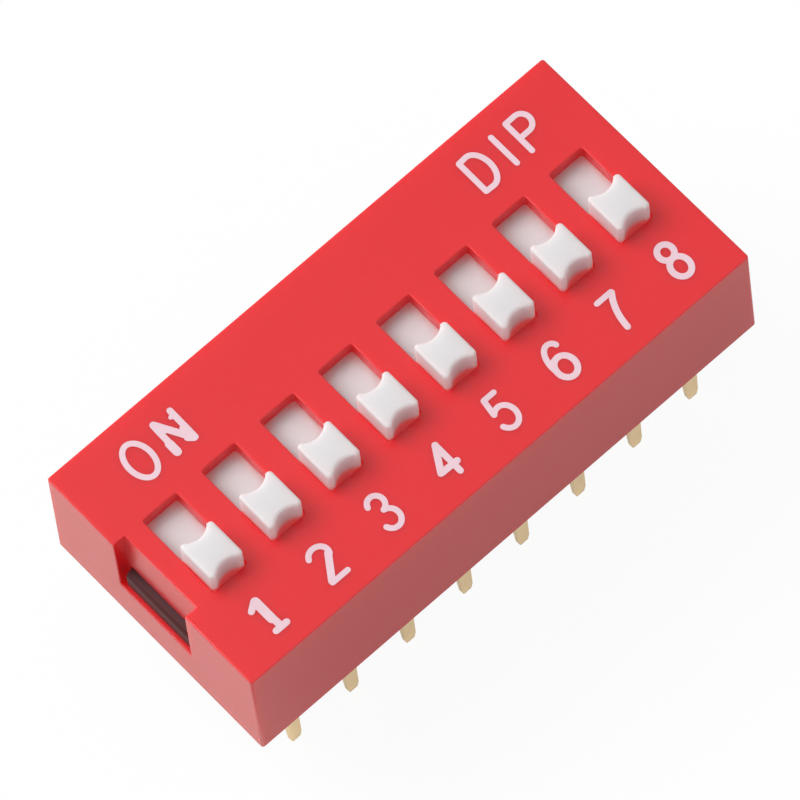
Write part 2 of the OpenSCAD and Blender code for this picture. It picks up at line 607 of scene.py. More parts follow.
class EffectShelf:
    """Builds each shared effect once, as a node group, and hands it out."""

    def __init__(self) -> None:
        """Starts with every effect still to be made."""
        self.made: dict[Effect, bpy.types.NodeTree] = {}

    def place(self, graph: Graph, effect: Effect, **values: object) -> bpy.types.Node:
        """Places an effect in a material.

        Args:
            graph: The material's tree.
            effect: Which effect.
            **values: Its inputs, with the spaces of their names as underscores.

        Returns:
            The group's node.
        """
        if effect not in self.made:
            makers = {
                Effect.GRAIN: self._grain,
                Effect.DUST: self._dust,
                Effect.EDGE: self._edge,
                Effect.ROLLED: self._rolled,
                Effect.CREVICE: self._crevice,
            }
            self.made[effect] = makers[effect]()
        named = {name.replace("_", " "): value for name, value in values.items()}
        return graph.add("Group", named, node_tree=self.made[effect])

    @staticmethod
    def _open(
        effect: Effect, inputs: dict[str, float | None], outputs: Sequence[str]
    ) -> tuple[Graph, Sockets, bpy.types.Node]:
        """Makes an empty group with its sockets.

        Args:
            effect: The effect, which names the group.
            inputs: Each input's name and default: a number, or None for a vector.
            outputs: The names of its outputs, which are all numbers.

        Returns:
            The group's graph, its input sockets by name, and its output node.
        """
        tree = bpy.data.node_groups.new(effect.value, "ShaderNodeTree")
        for name, default in inputs.items():
            kind = "NodeSocketVector" if default is None else "NodeSocketFloat"
            socket = tree.interface.new_socket(name=name, in_out="INPUT", socket_type=kind)
            if default is not None:
                socket.default_value = default
        for name in outputs:
            tree.interface.new_socket(name=name, in_out="OUTPUT", socket_type="NodeSocketFloat")
        entry = tree.nodes.new("NodeGroupInput")
        result = tree.nodes.new("NodeGroupOutput")
        return Graph(tree), {name: entry.outputs[name] for name in inputs}, result

    def _grain(self) -> bpy.types.NodeTree:
        """Builds the fine texture and the broad flow marks of moulded plastic.

        Returns:
            A group with a height for bump and a tone for colour and gloss.
        """
        inputs = {"Position": None, "Fineness": 15000.0, "Breadth": 500.0}
        graph, entry, result = self._open(Effect.GRAIN, inputs, ("Height", "Tone"))
        fine = {"Vector": entry["Position"], "Scale": entry["Fineness"], "Detail": 3.0, "Roughness": 0.6}
        broad = {"Vector": entry["Position"], "Scale": entry["Breadth"], "Detail": 2.0}
        graph.feed(result, "Height", graph.add("TexNoise", fine).outputs[0])
        graph.feed(result, "Tone", graph.add("TexNoise", broad).outputs[0])
        return graph.tree

    def _dust(self) -> bpy.types.NodeTree:
        """Builds sparse specks of dust, each in a cell of its own.

        Returns:
            A group with a mask of the specks.
        """
        inputs = {"Position": None, "Cells": 1400.0, "Share": 0.1, "Radius": 0.06}
        graph, entry, result = self._open(Effect.DUST, inputs, ("Mask",))
        cells = graph.add("TexVoronoi", {"Vector": entry["Position"], "Scale": entry["Cells"]})
        draw = graph.add("SeparateColor", {"Color": cells.outputs["Color"]})
        chosen = graph.maths("LESS_THAN", draw.outputs[0], entry["Share"])
        size = graph.maths("MULTIPLY", draw.outputs[1], entry["Radius"])
        near = graph.maths("LESS_THAN", cells.outputs["Distance"], size)
        graph.feed(result, "Mask", graph.maths("MULTIPLY", chosen, near))
        return graph.tree

    def _edge(self) -> bpy.types.NodeTree:
        """Builds a mask of the edges, where the surface is made lighter as wear and as a painted highlight.

        Returns:
            A group with a mask that is 1 along sharp edges.
        """
        inputs = {"Position": None, "Reach": 0.0001, "Strength": 3.0}
        graph, entry, result = self._open(Effect.EDGE, inputs, ("Mask",))
        rounded = graph.add("Bevel", {"Radius": entry["Reach"]}, samples=4)
        plain = graph.add("NewGeometry")
        values = {"Vector": rounded.outputs[0], "Vector_001": plain.outputs["Normal"]}
        agree = graph.add("VectorMath", values, operation="DOT_PRODUCT")
        parted = graph.maths("SUBTRACT", 1.0, agree.outputs["Value"])
        bright = graph.maths("MULTIPLY", parted, entry["Strength"], clamp=True)
        noise = graph.add("TexNoise", {"Vector": entry["Position"], "Scale": 2500.0, "Detail": 2.0})
        graph.feed(result, "Mask", graph.maths("MULTIPLY", bright, noise.outputs[0]))
        return graph.tree

    def _rolled(self) -> bpy.types.NodeTree:
        """Builds the fine lines that rolling and stamping leave along a strip.

        Returns:
            A group with a height for bump and a tone for colour and gloss.
        """
        inputs = {"Position": None, "Lines": 9000.0, "Stain": 900.0}
        graph, entry, result = self._open(Effect.ROLLED, inputs, ("Height", "Tone"))
        drawn = graph.add("Mapping", {"Vector": entry["Position"], "Scale": (1.0, 1.0, 0.08)})
        lines = {"Vector": drawn.outputs[0], "Scale": entry["Lines"], "Detail": 4.0, "Roughness": 0.7}
        stain = {"Vector": entry["Position"], "Scale": entry["Stain"], "Detail": 5.0}
        graph.feed(result, "Height", graph.add("TexNoise", lines).outputs[0])
        graph.feed(result, "Tone", graph.add("TexNoise", stain).outputs[0])
        return graph.tree

    def _crevice(self) -> bpy.types.NodeTree:
        """Builds a mask of the narrow gaps that hardly see the sky, where shade and a glow are painted.

        Returns:
            A group with a mask that is 1 deep in a gap.
        """
        graph, entry, result = self._open(Effect.CREVICE, {"Reach": 0.0005, "Start": 0.45}, ("Mask",))
        around = graph.add("AmbientOcclusion", {"Distance": entry["Reach"]}, samples=8)
        shut = graph.maths("SUBTRACT", 1.0, around.outputs["AO"])
        deep = {"Value": shut, "From Min": entry["Start"], "From Max": 0.95}
        graph.feed(result, "Mask", graph.add("MapRange", deep).outputs["Result"])
        return graph.tree


@dataclass(frozen=True)
class Finish:
    """What every finish has: a name, a colour and a gloss."""

    name: str
    colour: Colour
    roughness: float

    def begin(self) -> tuple[bpy.types.Material, Graph, bpy.types.NodeSocket]:
        """Makes an empty material.

        Returns:
            The material, its graph, and the socket of the piece's own coordinates.
        """
        material = bpy.data.materials.new(self.name)
        material.use_nodes = True
        material.node_tree.nodes.clear()
        material.diffuse_color = opaque(self.colour)
        graph = Graph(material.node_tree)
        place = graph.add("TexCoord").outputs["Object"]
        return material, graph, place

    @staticmethod
    def close(graph: Graph, values: dict[str, object]) -> None:
        """Ends a material in a Principled shader.

        Args:
            graph: The material's graph.
            values: The shader's inputs.
        """
        shader = graph.add("BsdfPrincipled", values)
        graph.add("OutputMaterial", {"Surface": shader.outputs[0]})


@dataclass(frozen=True)
class Plastic(Finish):
    """Moulded plastic with faint flow marks, a fine grain, edges made lighter as wear and as a painted
    highlight, and painted shade and glow in narrow gaps.
    """

    flow: float = 0.05
    gloss_play: float = 0.03
    fineness: float = 16000.0
    breadth: float = 420.0
    grain: float = 0.05
    grain_depth: float = 0.000008
    dust: float = 0.06
    dust_cover: float = 0.5
    dust_colour: Colour = (0.8, 0.78, 0.76)
    edge_wear_and_highlight: float = 0.2
    edge_reach: float = 0.00008
    edge_strength: float = 4.0
    wear_and_highlight_paleness: float = 0.35
    clarity: float = 0.5
    glow: float = 0.0
    glow_tint: Colour = (1.0, 1.0, 1.0)
    glow_depth: float = 0.0005
    # Deep in gaps: the painted glow's colour, where the crevice mask starts, and the painted shade's
    # green-blue share and gloss loss
    painted_gap_glow: Colour = (0.0, 0.0, 0.0)
    gap_start: float = 0.45
    gap_shade_green_blue: float = 0.55
    gap_gloss_shade: float = 0.5

    def material(self, shelf: EffectShelf) -> bpy.types.Material:
        """Builds the material.

        Args:
            shelf: Where the shared effects come from.

        Returns:
            The material.
        """
        material, graph, place = self.begin()
        scales = {"Fineness": self.fineness, "Breadth": self.breadth}
        grain = shelf.place(graph, Effect.GRAIN, Position=place, **scales)
        specks = shelf.place(graph, Effect.DUST, Position=place, Share=self.dust)
        edge_settings = {"Reach": self.edge_reach, "Strength": self.edge_strength}
        edge = shelf.place(graph, Effect.EDGE, Position=place, **edge_settings)
        tone = graph.spread(grain.outputs["Tone"], 0.0, 1.0)
        body = graph.mix(tone, opaque(shade(self.colour, 1 - self.flow)), opaque(self.colour))
        # Edges made lighter: partly wear, partly a painted highlight
        wear_and_highlight_share = graph.maths("MULTIPLY", edge.outputs[0], self.edge_wear_and_highlight)
        light = tuple(part + (1 - part) * self.wear_and_highlight_paleness for part in self.colour)
        body = graph.mix(wear_and_highlight_share, body, opaque(light))
        dusty = graph.maths("MULTIPLY", specks.outputs[0], self.dust_cover)
        body = graph.mix(dusty, body, opaque(self.dust_colour))
        # Painted shade and painted glow deep in a gap: the crevice mask turns the colour redder and darker,
        # dulls the gloss, and adds an emission that stands in for the light that the red walls let through
        gap = shelf.place(graph, Effect.CREVICE, Start=self.gap_start).outputs[0]
        red, green, blue = self.colour
        gap_shade_colour = (red, self.gap_shade_green_blue * green, self.gap_shade_green_blue * blue)
        body = graph.mix(gap, body, opaque(gap_shade_colour))
        clear = graph.maths("MULTIPLY_ADD", gap, -self.gap_gloss_shade * self.clarity, self.clarity)
        gloss = graph.spread(
            grain.outputs["Tone"], self.roughness - self.gloss_play, self.roughness + self.gloss_play
        )
        self.close(
            graph,
            {
                "Base Color": body,
                "Roughness": gloss,
                "Normal": graph.relief(grain.outputs["Height"], self.grain, self.grain_depth),
                "IOR": 1.5,
                "Specular IOR Level": clear,
                "Subsurface Weight": self.glow,
                "Subsurface Radius": self.glow_tint,
                "Subsurface Scale": self.glow_depth,
                # Painted glow, strongest deep in gaps
                "Emission Color": opaque(self.painted_gap_glow),
                "Emission Strength": gap,
            },
        )
        return material


@dataclass(frozen=True)
class Gilt(Finish):
    """Gilt strip metal with rolling lines and faint stains."""

    stain: Colour = (0.5, 0.34, 0.16)
    stain_share: float = 0.35
    edge_reach: float = 0.00004
    edge_strength: float = 3.0
    edge_lightening_share: float = 0.4
    edge_lightening: float = 1.25
    smoother: float = 0.07
    rougher: float = 0.09
    grooves: float = 0.15
    groove_depth: float = 0.000006

    def material(self, shelf: EffectShelf) -> bpy.types.Material:
        """Builds the material.

        Args:
            shelf: Where the shared effects come from.

        Returns:
            The material.
        """
        material, graph, place = self.begin()
        rolled = shelf.place(graph, Effect.ROLLED, Position=place)
        edge_settings = {"Reach": self.edge_reach, "Strength": self.edge_strength}
        edge = shelf.place(graph, Effect.EDGE, Position=place, **edge_settings)
        tone = graph.spread(rolled.outputs["Tone"], 0.0, self.stain_share)
        colour = graph.mix(tone, opaque(self.colour), opaque(self.stain))
        bright = graph.maths("MULTIPLY", edge.outputs[0], self.edge_lightening_share)
        colour = graph.mix(bright, colour, opaque(shade(self.colour, self.edge_lightening)))
        height = rolled.outputs["Height"]
        gloss = graph.spread(height, self.roughness - self.smoother, self.roughness + self.rougher)
        normal = graph.relief(height, self.grooves, self.groove_depth)
        self.close(graph, {"Base Color": colour, "Roughness": gloss, "Metallic": 1.0, "Normal": normal})
        return material


@dataclass(frozen=True)
class Ink(Finish):
    """Printing ink that lies thinner in places and lets the plastic tint it."""

    thin: Colour = (0.76, 0.52, 0.57)
    fineness: float = 24000.0
    breadth: float = 2200.0
    gloss_play: float = 0.08
    grain: float = 0.2
    grain_depth: float = 0.000006

    def material(self, shelf: EffectShelf) -> bpy.types.Material:
        """Builds the material.

        Args:
            shelf: Where the shared effects come from.

        Returns:
            The material.
        """
        material, graph, place = self.begin()
        scales = {"Fineness": self.fineness, "Breadth": self.breadth}
        grain = shelf.place(graph, Effect.GRAIN, Position=place, **scales)
        tone = graph.spread(grain.outputs["Tone"], 0.0, 1.0)
        colour = graph.mix(tone, opaque(self.thin), opaque(self.colour))
        gloss = graph.spread(
            grain.outputs["Tone"], self.roughness - self.gloss_play, self.roughness + self.gloss_play
        )
        normal = graph.relief(grain.outputs["Height"], self.grain, self.grain_depth)
        self.close(graph, {"Base Color": colour, "Roughness": gloss, "Normal": normal})
        return material


# ---------------------------------------------------------------- sub-assemblies


@dataclass
class Cover:
    """The red cover: open below, with slots above, a recess at one end and a window in both."""

    outer: Span
    slot_centres: Sequence[Vector]
    draft: float = 0.05
    top_thickness: float = 0.6
    side_wall: float = 0.76
    end_wall: float = 0.83
    edge_radius: float = 0.05
    corner_radius: float = 0.1
    slot_width: float = 1.45
    slot_length: float = 3.45
    slot_corner: float = 0.1
    recess_width: float = 3.46
    recess_depth: float = 0.5
    recess_draft: float = 0.05
    ledge_height: float = 2.1
    window_height: float = 1.1
    window_width: float = 3.16
    rim_radius: float = 0.045
    rim_turn: float = 50.0

    @property
    def top(self) -> float:
        """Returns the height of the top face."""
        return self.outer.high.z

    @property
    def top_size(self) -> Vector:
        """Returns the size at the top, where the draft has narrowed it."""
        return self.outer.size - Vector((2 * self.draft, 2 * self.draft, 0))

    def build(self) -> Workpiece:
        """Models the cover.

        Returns:
            The cover, in millimetres.
        """
        shell = self._outer_form()
        self._hollow(shell)
        shell.cut(self._slot_cutter())
        self._cut_ends(shell)
        shell.merge()
        self._soften(shell)
        return shell

    def _outer_form(self) -> Workpiece:
        """Shapes the drafted block with its rounded corners and upper edges.

        Returns:
            The solid block.
        """
        form = Workpiece.box("switch_cover", self.outer)
        narrowed = (self.top_size.x / self.outer.size.x, self.top_size.y / self.outer.size.y, 1)
        with form.editing():
            form.pick_faces(lambda middle, normal: normal.z > ALONG)
            bpy.ops.transform.resize(value=narrowed, center_override=(0, 0, self.top))
        form.round_edges(lambda edge: edge.upright, self.corner_radius, segments=6)
        form.round_edges(lambda edge: edge.middle.z > self.top - TOUCH, self.edge_radius, segments=6)
        return form

    def _hollow(self, shell: Workpiece) -> None:
        """Opens the cover from below.

        Args:
            shell: The solid block.
        """
        size = self.top_size - Vector((2 * self.end_wall, 2 * self.side_wall, self.top_thickness))
        space = Span(
            Vector((-size.x / 2, -size.y / 2, -PAST)),
            Vector((size.x / 2, size.y / 2, self.top - self.top_thickness)),
        )
        shell.cut(Workpiece.box("cavity", space))

    def _slot_cutter(self) -> Workpiece:
        """Makes the tool for every slot.

        Returns:
            One object that holds a cutter for each slot.
        """
        depth = self.top_thickness + 2 * PAST
        size = (self.slot_width, self.slot_length, depth)
        first = Workpiece.box("slot", Span.about((0, 0, self.top), size))
        first.round_edges(lambda edge: edge.upright, self.slot_corner, segments=3)
        others = [first.copy("slot", centre) for centre in self.slot_centres[1:]]
        placed = first.copy("slots", self.slot_centres[0])
        first.discard()
        placed.gather(others)
        return placed

    def _cut_ends(self, shell: Workpiece) -> None:
        """Cuts the window in each end and the recess that marks the first position.

        Args:
            shell: The hollow cover.
        """
        end = self.top_size.x / 2
        middle = self.ledge_height + self.window_height / 2
        size = (self.outer.size.x + 2 * PAST, self.window_width, self.window_height)
        shell.cut(Workpiece.box("windows", Span.about((0, 0, middle), size)))
        back = -end + self.recess_depth + self.recess_draft * PAST
        space = Span(
            Vector((-end - PAST, -self.recess_width / 2, self.ledge_height)),
            Vector((back, self.recess_width / 2, self.top + PAST)),
        )
        recess = Workpiece.box("recess", space)
        with recess.editing(Pick.EDGES):
            foot = self.ledge_height + TOUCH
            recess.pick_edges(lambda edge: edge.middle.x > back - TOUCH and edge.middle.z < foot)
            outwards = -self.recess_draft * space.size.z
            bpy.ops.transform.translate(value=(outwards, 0, 0))
        shell.cut(recess)

    def _soften(self, shell: Workpiece) -> None:
        """Takes the sharpness off every outer edge that a mould would leave rounded.

        Args:
            shell: The cover with all its openings.
        """
        end = self.top_size.x / 2
        side = self.outer.size.y / 2
        inner_end = end - self.end_wall + TOUCH
        inner_side = side - self.side_wall

        def shows(edge: Edge) -> bool:
            """Tells whether an edge is sharp and can be seen or touched.

            Args:
                edge: The edge.

            Returns:
                True for a sharp outer edge.
            """
            if not edge.convex or edge.turn < self.rim_turn:
                return False
            place = edge.middle
            above = place.z > self.top - TOUCH
            outside = abs(place.x) > inner_end or abs(place.y) > inner_side
            return above or outside

        shell.round_edges(shows, self.rim_radius, segments=3)


@dataclass
class Slider:
    """One white slider: a knob with hollowed ends on a plate, with a block under it."""

    plate: Span
    top: float
    knob_width: float = 1.4
    knob_length: float = 1.58
    plate_thickness: float = 0.6
    plate_top: float = 4.61
    block_width: float = 1.5
    block_length: float = 2.3
    pocket_width: float = 0.94
    pocket_length: float = 1.7
    pocket_depth: float = 0.3
    hollow_width: float = 1.0
    hollow_depth: float = 0.22
    corner_radius: float = 0.13
    lip_radius: float = 0.06
    lip_turn: float = 30.0
    crown_radius: float = 0.1
    plate_radius: float = 0.05
    block_radius: float = 0.06

    def build(self) -> Workpiece:
        """Models the slider.

        Returns:
            The slider, in millimetres.
        """
        knob = self._knob()
        centre = self.plate.centre
        plate_middle = self.plate_top - self.plate_thickness / 2
        plate_size = (self.plate.size.x, self.plate.size.y, self.plate_thickness)
        plate = Workpiece.box("plate", Span.about((centre.x, centre.y, plate_middle), plate_size))
        plate.round_edges(lambda edge: True, self.plate_radius, segments=2)
        bottom = self.plate.low.z
        upper = plate_middle
        block_size = (self.block_width, self.block_length, upper - bottom)
        block = Workpiece.box("block", Span.about((centre.x, centre.y, (upper + bottom) / 2), block_size))
        block.round_edges(lambda edge: edge.middle.z < upper - TOUCH, self.block_radius, segments=2)
        knob.weld(plate, block)
        pocket_size = (self.pocket_width, self.pocket_length, 2 * self.pocket_depth)
        knob.cut(Workpiece.box("pocket", Span.about((centre.x, centre.y, bottom), pocket_size)))
        return knob

    def _knob(self) -> Workpiece:
        """Shapes the knob, which reaches down into the plate.

        Returns:
            The knob.
        """
        centre = self.plate.centre
        foot = self.plate_top - self.plate_thickness / 3
        half = Vector((self.knob_width / 2, self.knob_length / 2, 0))
        low = Vector((centre.x, centre.y, foot)) - half
        high = Vector((centre.x, centre.y, self.top)) + half
        knob = Workpiece.box("slider", Span(low, high))
        radius = ((self.hollow_width / 2) ** 2 + self.hollow_depth**2) / (2 * self.hollow_depth)
        reach = half.y - self.hollow_depth + radius
        for way in (-1, 1):
            place = (centre.x, centre.y + way * reach, foot - PAST)
            knob.cut(Workpiece.rod("hollow", place, radius, self.top - foot + 2 * PAST, sides=128))

        def corner(edge: Edge) -> bool:
            """Returns True for an upright edge at a corner of the knob."""
            return edge.upright and abs(abs(edge.middle.x - centre.x) - half.x) < TOUCH

        def lip(edge: Edge) -> bool:
            """Returns True for an upright edge where a hollow begins."""
            inside = abs(edge.middle.x - centre.x) < half.x - TOUCH
            return edge.upright and edge.turn > self.lip_turn and edge.convex and inside

        knob.round_edges(corner, self.corner_radius, segments=6)
        knob.round_edges(lip, self.lip_radius, segments=4)
        knob.round_edges(lambda edge: edge.middle.z > self.top - TOUCH, self.crown_radius, segments=5)
        return knob


@dataclass
class Terminal:
    """One terminal of the front row: a leg through the base and a pad that reaches inwards."""

    space: Span
    centre_x: float
    leg_width: float = 0.5
    thickness: float = 0.25
    tip_width: float = 0.34
    tip_length: float = 0.3
    tip_thickness: float = 0.12
    lean_length: float = 0.9
    bend_radius: float = 0.4
    edge_radius: float = 0.03
    edge_turn: float = 60.0

    def build(self) -> Workpiece:
        """Models the terminal.

        Returns:
            The terminal, in millimetres.
        """
        front = self.space.low.y
        bend_z = self.space.high.z - self.bend_radius
        low = Vector((self.centre_x - self.leg_width / 2, front, self.space.low.z + self.tip_length))
        high = Vector((self.centre_x + self.leg_width / 2, front + self.thickness, bend_z))
        leg = Workpiece.box("terminal", Span(low, high))
        with leg.editing():
            leg.pick_faces(lambda middle, normal: normal.z < -ALONG)
            down = {"value": (0, 0, -self.tip_length)}
            bpy.ops.mesh.extrude_region_move(TRANSFORM_OT_translate=down)
            narrowed = (self.tip_width / self.leg_width, 1, 1)
            bpy.ops.transform.resize(value=narrowed, center_override=(self.centre_x, front, self.space.low.z))
        with leg.editing():
            bpy.ops.mesh.select_all(action="SELECT")
            place = (self.centre_x, front + self.tip_thickness, self.space.low.z)
            facing = (0, self.lean_length, self.tip_thickness - self.thickness)
            bpy.ops.mesh.bisect(plane_co=place, plane_no=facing, use_fill=True, clear_outer=True)
        with leg.editing():
            leg.pick_faces(lambda middle, normal: normal.z > ALONG)
            pivot = (self.centre_x, front + self.bend_radius, bend_z)
            bpy.ops.mesh.spin(steps=8, angle=math.pi / 2, center=pivot, axis=(1, 0, 0))
        with leg.editing():
            leg.pick_faces(lambda middle, normal: normal.y > ALONG and middle.z > bend_z)
            inwards = {"value": (0, self.bend_radius, 0)}
            bpy.ops.mesh.extrude_region_move(TRANSFORM_OT_translate=inwards)
        shoulder = front + self.bend_radius + (self.space.size.x - self.leg_width) / 2
        pad = Span(
            Vector((self.space.low.x, shoulder, self.space.high.z - self.thickness)), self.space.high
        )
        leg.weld(Workpiece.box("pad", pad))
        leg.merge()

        def on_leg(edge: Edge) -> bool:
            """Returns True for a sharp edge below the bend."""
            return edge.convex and edge.turn > self.edge_turn and edge.middle.z < bend_z

        leg.round_edges(on_leg, self.edge_radius, segments=2)
        return leg


@dataclass
class Base:
    """The black base: a floor with ribs, and a catch at each end that shows in its window."""

    node: bpy.types.Object
    floor: Span
    catch_shoulder: float = 2.63
    catch_radius: float = 0.045
    catch_turn: float = 25.0
    shoulder_radius: float = 0.15
    foot_radius: float = 0.08
    foot_turn: float = 60.0
    mark_radius: float = 0.55
    mark_depth: float = 0.05
    mark_places: Sequence[float] = (-7.62, 0.0, 7.62)

    def build(self) -> Workpiece:
        """Models the base from its CAD solid, with softened edges and ejector marks below.

        Returns:
            The base, in millimetres.
        """
        base = Workpiece.of_node("switch_base", self.node)
        wall = self.floor.high.x
        base_end = base.thing.dimensions.x / 2

        def on_catch(edge: Edge) -> bool:
            """Returns True for an outer edge of a catch."""
            return edge.convex and edge.turn > self.catch_turn and abs(edge.middle.x) > wall + TOUCH

        def at_foot(edge: Edge) -> bool:
            """Tells whether an edge runs round the bottom face.

            Args:
                edge: The edge.

            Returns:
                True for an outer edge of the bottom face.
            """
            place = edge.middle
            outline = abs(place.x) > wall - TOUCH or abs(place.y) > self.floor.high.y - TOUCH
            return edge.convex and edge.turn > self.foot_turn and place.z < TOUCH and outline

        def on_shoulder(edge: Edge) -> bool:
            """Tells whether an edge is the long upper one of a catch's outer face.

            Args:
                edge: The edge.

            Returns:
                True for that edge, at either end.
            """
            outermost = abs(edge.middle.x) > base_end - TOUCH
            across = abs(edge.along.y) > ALONG
            return edge.convex and outermost and across and edge.middle.z > self.catch_shoulder

        base.round_edges(on_shoulder, self.shoulder_radius, segments=5)
        base.round_edges(on_catch, self.catch_radius, segments=3)
        base.round_edges(at_foot, self.foot_radius, segments=3)
        for place in self.mark_places:
            foot = (place, 0, -PAST)
            base.cut(Workpiece.rod("mark", foot, self.mark_radius, PAST + self.mark_depth, sides=48))
        return base


# ---------------------------------------------------------------- lettering


Place = tuple[float, float]

# A whole ellipse has this many corners
ELLIPSE_SIDES = 72
# A corner this many degrees past the end of an arc still belongs to it
ARC_SLACK = 1.0


@dataclass(frozen=True)
class Bar:
    """A straight pen stroke from place to place, in millimetres from the character's middle."""

    places: tuple[Place, ...]
    weight: float = 1.0


@dataclass(frozen=True)
class Arc:
    """A pen stroke round an ellipse, anticlockwise from one angle to another, in degrees."""

    centre: Place
    radii: Place
    start: float = 0.0
    end: float = 360.0
    weight: float = 1.0

    @property
    def closed(self) -> bool:
        """Returns True for a whole ellipse."""
        return self.end - self.start >= 360

    def at(self, angle: float) -> Place:
        """Finds a place on the ellipse.

        Args:
            angle: Its angle, in degrees.

        Returns:
            The place, from the character's middle.
        """
        turn = math.radians(angle)
        return (
            self.centre[0] + self.radii[0] * math.cos(turn),
            self.centre[1] + self.radii[1] * math.sin(turn),
        )

    def holds(self, place: Vector) -> bool:
        """Tells whether a place of the whole ellipse is on the stroke.

        Args:
            place: The place, from the ellipse's centre.

        Returns:
            True if the stroke passes it.
        """
        angle = math.degrees(math.atan2(place.y / self.radii[1], place.x / self.radii[0]))
        past = (angle - self.start + ARC_SLACK) % 360 - ARC_SLACK
        return past < self.end - self.start + ARC_SLACK


CHARACTERS: dict[str, tuple[Bar | Arc, ...]] = {
    "O": (Arc((-0.02, 0.01), (0.45, 0.71)),),
    "N": (
        Bar(((-0.36, 0.65), (-0.39, -0.62)), 1.1),
        Bar(((-0.34, 0.65), (0.33, -0.60)), 1.25),
        Bar(((0.39, 0.66), (0.37, -0.61)), 1.1),
        # Ink that has run at the foot, beside the diagonal and at the right-hand stem
        Bar(((-0.40, -0.20), (-0.40, -0.60)), 1.5),
        Bar(((0.18, -0.45), (0.32, -0.58)), 1.3),
        Bar(((0.28, -0.08), (0.28, -0.20))),
        Bar(((-0.20, 0.27), (-0.19, 0.22)), 0.9),
        Bar(((0.32, 0.48), (0.25, 0.46)), 0.8),
    ),
    "D": (
        Bar(((-0.15, 0.71), (-0.47, 0.69), (-0.48, -0.66), (-0.15, -0.67))),
        Arc((-0.15, 0.02), (0.44, 0.69), -90, 90),
    ),
    "I": (Bar(((-0.01, 0.67), (-0.01, -0.60))),),
    "P": (
        Bar(((0.05, 0.71), (-0.36, 0.70), (-0.37, -0.61))),
        Bar(((-0.36, -0.01), (0.05, -0.01))),
        Arc((0.05, 0.35), (0.33, 0.36), -90, 90),
    ),
    "1": (
        Bar(((-0.31, 0.39), (0.00, 0.61)), 1.15),
        Bar(((0.01, 0.57), (0.01, -0.24)), 1.6),
        Bar(((0.04, -0.20), (0.06, -0.60)), 1.25),
        Bar(((-0.17, -0.65), (0.28, -0.65)), 1.2),
    ),
    "2": (
        Arc((0.00, 0.33), (0.36, 0.33), -30, 160),
        Bar(((0.29, 0.22), (-0.28, -0.60)), 1.25),
        Bar(((-0.30, -0.66), (0.35, -0.66))),
    ),
    "3": (Arc((-0.02, 0.41), (0.29, 0.31), -80, 165), Arc((0.00, -0.28), (0.33, 0.37), -160, 85)),
    "4": (
        Bar(((0.19, 0.63), (-0.34, -0.24), (0.34, -0.26)), 1.2),
        Bar(((0.19, 0.63), (0.18, -0.60)), 1.1),
    ),
    "5": (
        Bar(((0.25, 0.70), (-0.19, 0.70), (-0.28, 0.10))),
        Arc((-0.02, -0.22), (0.36, 0.44), -155, 135),
    ),
    "6": (
        Arc((0.04, 0.50), (0.25, 0.24), 10, 90),
        Arc((0.04, 0.00), (0.40, 0.74), 90, 200),
        Arc((0.00, -0.24), (0.35, 0.42), weight=1.1),
        Bar(((-0.28, 0.15), (-0.05, 0.18))),
    ),
    "7": (Bar(((-0.34, 0.70), (0.28, 0.70))), Arc((1.10, -0.75), (1.275, 1.85), 130, 175, 1.1)),
    "8": (Arc((-0.05, 0.50), (0.275, 0.30), weight=1.1), Arc((-0.03, -0.20), (0.33, 0.39), weight=1.1)),
}


